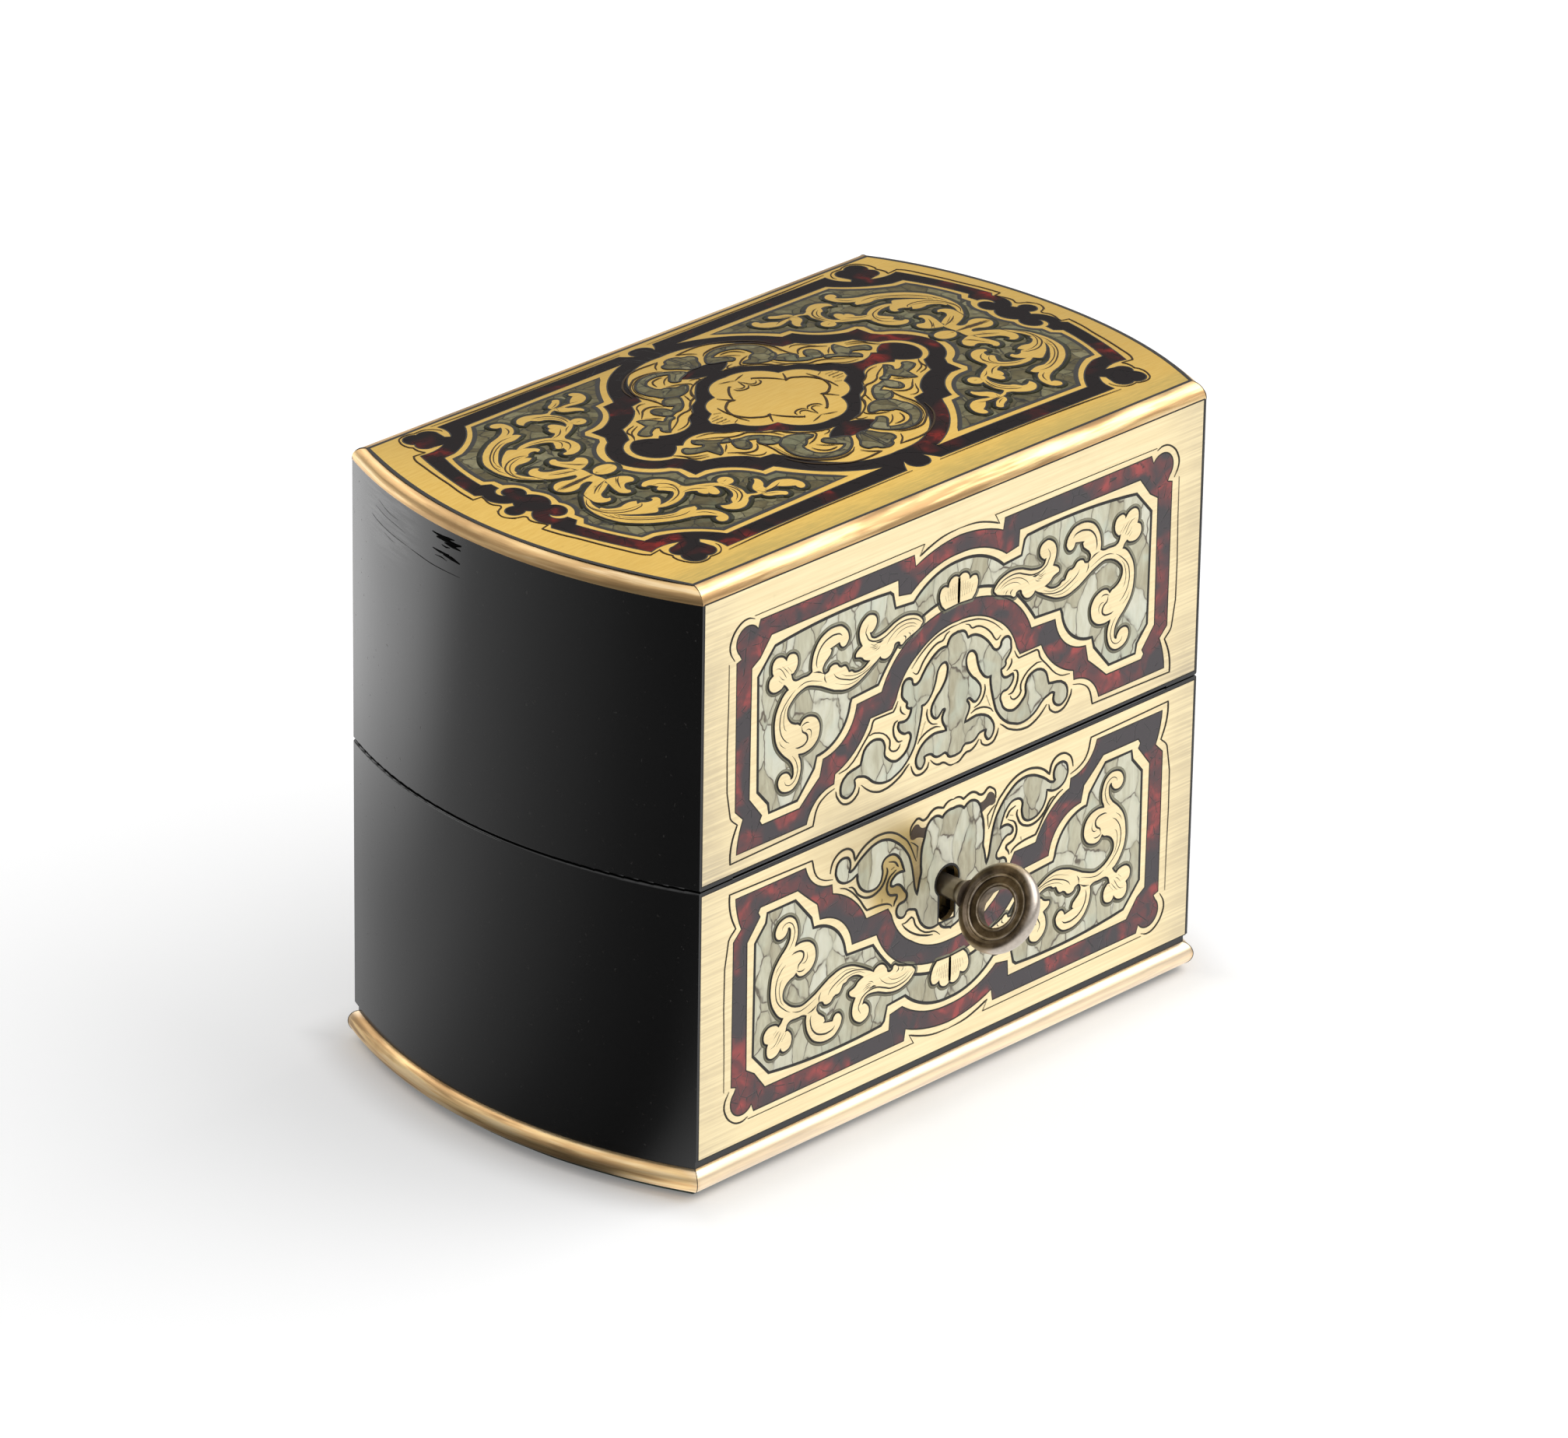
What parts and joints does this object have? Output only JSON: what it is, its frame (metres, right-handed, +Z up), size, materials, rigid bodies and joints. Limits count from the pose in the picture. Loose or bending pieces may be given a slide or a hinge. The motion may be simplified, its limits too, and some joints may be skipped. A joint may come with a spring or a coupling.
{
  "type": "perfume box",
  "caption": "Small hinged-lid coffer with bowed ends, brass and shell marquetry on front and domed top, box lock with key, and stoppered glass bottles in wells.",
  "frame": {"origin": "middle of the underside, on the surface the box stands on", "axes": "+X along the front to its right, -Y out of the front, +Z up"},
  "size_m": [0.1458, 0.1092, 0.1165],
  "materials": {
    "plate_brass": "satin",
    "tortoiseshell": "gloss",
    "pearl": "gloss",
    "moulding_brass": "satin",
    "felt": "matte",
    "lining": "matte",
    "glass": "gloss",
    "key_bronze": "satin",
    "fitting_brass": "satin",
    "steel": "satin",
    "ebonised_wood": "satin"
  },
  "bodies": {
    "base": {"base_back_board": "ebonised_wood", "base_bottom_board": "ebonised_wood", "base_felt": "felt", "base_front_board": "ebonised_wood", "base_front_brass": "plate_brass", "base_front_pearl": "pearl", "base_front_tortoiseshell": "tortoiseshell", "base_left_end": "ebonised_wood", "base_moulding_back": "moulding_brass", "base_moulding_front": "moulding_brass", "base_moulding_left": "moulding_brass", "base_moulding_right": "moulding_brass", "base_right_end": "ebonised_wood", "bottle_tray_board": "lining", "bottle_wells": "lining", "hinge_base_leaves": "fitting_brass", "hinge_base_screws": "fitting_brass", "hinge_pins": "fitting_brass", "lock_cap": "fitting_brass", "lock_case": "steel", "lock_screws": "steel", "lock_selvedge": "fitting_brass", "well_pads": "lining"},
    "lid": {"hinge_lid_leaves": "fitting_brass", "hinge_lid_screws": "fitting_brass", "lid_back_board": "ebonised_wood", "lid_ceiling_pad": "lining", "lid_front_board": "ebonised_wood", "lid_front_brass": "plate_brass", "lid_front_pearl": "pearl", "lid_front_tortoiseshell": "tortoiseshell", "lid_left_end": "ebonised_wood", "lid_moulding_back": "moulding_brass", "lid_moulding_front": "moulding_brass", "lid_moulding_left": "moulding_brass", "lid_moulding_right": "moulding_brass", "lid_right_end": "ebonised_wood", "lid_top_board": "ebonised_wood", "lid_top_brass": "plate_brass", "lid_top_pearl": "pearl", "lid_top_tortoiseshell": "tortoiseshell", "lid_wall_lining": "lining", "strike_plate": "fitting_brass", "strike_screws": "steel", "strike_staples": "fitting_brass"},
    "lock_bolt": {"lock_bolt": "steel"},
    "drill_pin": {"lock_drill_pin": "steel"},
    "key": {"key": "key_bronze"},
    "bottle_left": {"bottle_left": "glass"},
    "bottle_right": {"bottle_right": "glass"},
    "stopper_left": {"stopper_left": "glass"},
    "stopper_right": {"stopper_right": "glass"}
  },
  "joints": [
    {"name": "lid_hinge", "type": "hinge", "parent": "base", "child": "lid", "pos_m": [0, 0.04305, 0.05845], "axis": [-1, 0, 0], "range_deg": [0, 98]},
    {"name": "key_turn", "type": "hinge", "parent": "base", "child": "drill_pin", "pos_m": [-0.0012, -0.0365, 0.0388], "axis": [0, 1, 0], "range_deg": [0, 360]},
    {"name": "key_withdraw", "type": "slide", "parent": "drill_pin", "child": "key", "axis": [0, -1, 0], "range_m": [0, 0.01]},
    {"name": "bolt_throw", "type": "slide", "parent": "base", "child": "lock_bolt", "axis": [1, 0, 0], "range_m": [0, 0.0035]},
    {"name": "bottle_left_lift", "type": "slide", "parent": "base", "child": "bottle_left", "axis": [0, 0, 1], "range_m": [0, 0.0075]},
    {"name": "stopper_left_lift", "type": "slide", "parent": "bottle_left", "child": "stopper_left", "axis": [0, 0, 1], "range_m": [0, 0.0095]},
    {"name": "bottle_right_lift", "type": "slide", "parent": "base", "child": "bottle_right", "axis": [0, 0, 1], "range_m": [0, 0.0075]},
    {"name": "stopper_right_lift", "type": "slide", "parent": "bottle_right", "child": "stopper_right", "axis": [0, 0, 1], "range_m": [0, 0.0095]}
  ],
  "couplings": [
    {"joint": "bolt_throw", "follows": "key_turn", "m_per_rad": 0.00055704}
  ]
}
